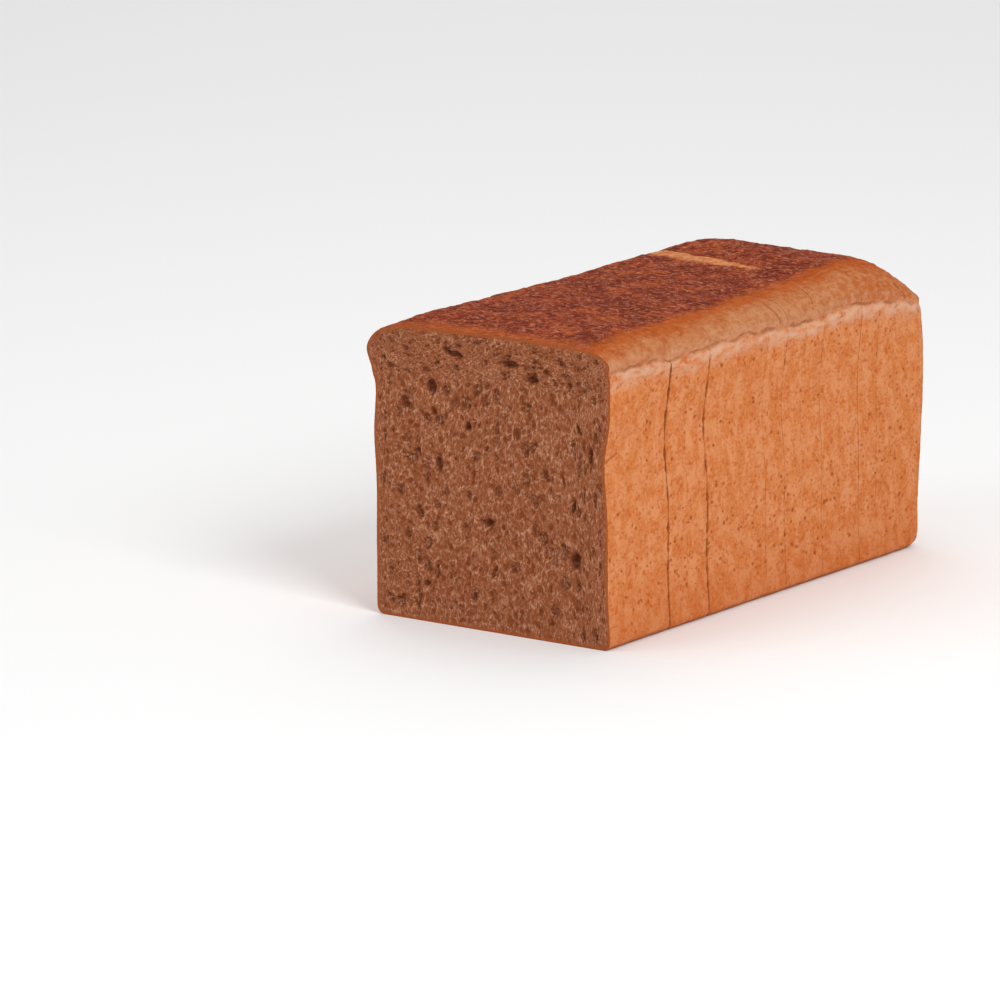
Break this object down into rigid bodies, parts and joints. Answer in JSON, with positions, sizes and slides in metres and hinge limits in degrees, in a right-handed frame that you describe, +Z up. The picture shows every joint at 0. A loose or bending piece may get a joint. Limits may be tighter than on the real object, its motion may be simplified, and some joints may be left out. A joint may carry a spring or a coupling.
{
  "type": "sliced wholemeal tin loaf",
  "caption": "Sliced wholemeal tin loaf standing on its base, with an open crumb face at one end and a rounded crusty heel at the other.",
  "frame": {"origin": "middle of the base the loaf stands on", "axes": "+Y along the loaf from the cut face to the heel, +X towards the side seen in the picture, +Z up"},
  "size_m": [0.1156, 0.233, 0.1219],
  "materials": {
    "crumb": "matt, spongy open crumb",
    "crust": "matt baked crust, darker on the top"
  },
  "bodies": {
    "root": {"slice_01": "crumb", "slice_02": "crust", "slice_03": "crust", "slice_04": "crust", "slice_05": "crust", "slice_06": "crust", "slice_07": "crust", "slice_08": "crust", "slice_09": "crust", "slice_10": "crust", "slice_11": "crust", "slice_12": "crust", "slice_13": "crust", "slice_14": "crust", "slice_15": "crust", "slice_16": "crust", "heel": "crust"}
  },
  "joints": []
}
